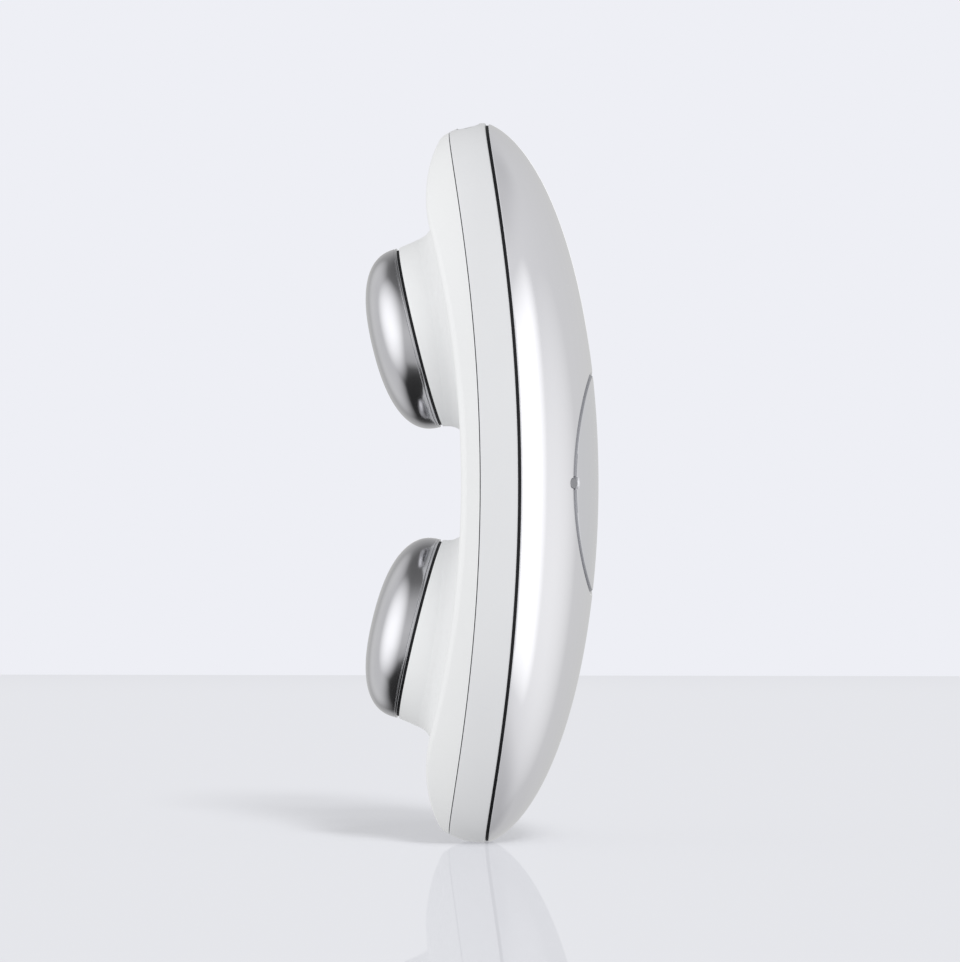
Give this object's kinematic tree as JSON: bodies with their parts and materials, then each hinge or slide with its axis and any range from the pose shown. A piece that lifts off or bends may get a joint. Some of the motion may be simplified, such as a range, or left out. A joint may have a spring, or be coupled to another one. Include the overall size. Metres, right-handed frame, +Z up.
{
  "type": "facial toning device",
  "caption": "Hand-held facial toning device with two metal electrode domes, a bowed oval body, a round front button and a charging socket.",
  "frame": {"origin": "middle of the small flat on the lower end that the device stands on", "axes": "+Z up the long axis, +X towards the glossy front and its button, -X towards the electrode domes, Y across the body"},
  "size_m": [0.0375, 0.06, 0.116],
  "materials": {
    "front_cover": "glossy white moulded ABS",
    "side_band": "satin white moulded plastic",
    "back_cover": "matte white soft-touch plastic",
    "front_gasket": "dark silicone",
    "front_button": "glossy pale grey-white plastic",
    "light_pipe": "smoke-grey clear plastic",
    "silicone": "grey silicone",
    "switch": "black moulded plastic",
    "frame": "natural moulded nylon",
    "circuit_board": "green solder mask on glass fibre board",
    "chip": "black moulded epoxy",
    "ceramic": "ceramic capacitors with tinned ends",
    "led": "small LED",
    "connector": "off-white nylon connector",
    "battery": "foil pouch cell",
    "foam": "black foam tape",
    "red_lead": "PVC-covered leads",
    "motor_can": "drawn steel motor can",
    "tungsten": "sintered tungsten weight on a steel shaft",
    "socket_metal": "stainless socket shell",
    "tongue": "black contact tongue",
    "flex": "amber polyimide flex",
    "electrode": "polished stainless electrode",
    "electrode_seal": "black silicone seal",
    "brass": "brass nuts and terminals",
    "steel_screw": "zinc-plated steel screws"
  },
  "bodies": {
    "housing": {"front_cover": "front_cover", "side_band": "side_band", "back_cover": "back_cover", "front_gasket": "front_gasket", "status_light_pipe": "light_pipe", "button_bumpers": "silicone", "switch_body": "switch", "inner_frame": "frame", "main_board": "circuit_board", "microcontroller": "chip", "boost_inductor": "chip", "board_capacitors": "ceramic", "status_led": "led", "battery_connector": "connector", "battery": "battery", "battery_pad": "foam", "battery_leads": "red_lead", "vibration_motor": "motor_can", "motor_boot": "silicone", "motor_leads": "red_lead", "charge_board": "circuit_board", "charge_socket_shell": "socket_metal", "charge_socket_tongue": "tongue", "charge_flex": "flex", "upper_electrode": "electrode", "lower_electrode": "electrode", "upper_electrode_seal": "electrode_seal", "lower_electrode_seal": "electrode_seal", "electrode_nuts": "brass", "electrode_terminals": "brass", "upper_electrode_lead": "red_lead", "lower_electrode_lead": "red_lead", "frame_screws": "steel_screw", "board_screws": "steel_screw", "charge_board_screws": "steel_screw"},
    "button": {"front_button": "front_button"},
    "switch_stem": {"switch_stem": "switch"},
    "motor_rotor": {"motor_weight": "tungsten"}
  },
  "joints": [
    {"name": "button_press", "type": "slide", "parent": "housing", "child": "button", "axis": [-1, 0, 0], "range_m": [0, 0.0005], "stiffness_N_per_m": 4000},
    {"name": "stem_press", "type": "slide", "parent": "housing", "child": "switch_stem", "axis": [-1, 0, 0], "range_m": [0, 0.0005]},
    {"name": "motor_spin", "type": "hinge", "parent": "housing", "child": "motor_rotor", "pos_m": [0.0026, 0, 0.02085], "axis": [0, 1, 0], "continuous": true}
  ],
  "couplings": [
    {"joint": "stem_press", "follows": "button_press", "ratio": 1}
  ]
}
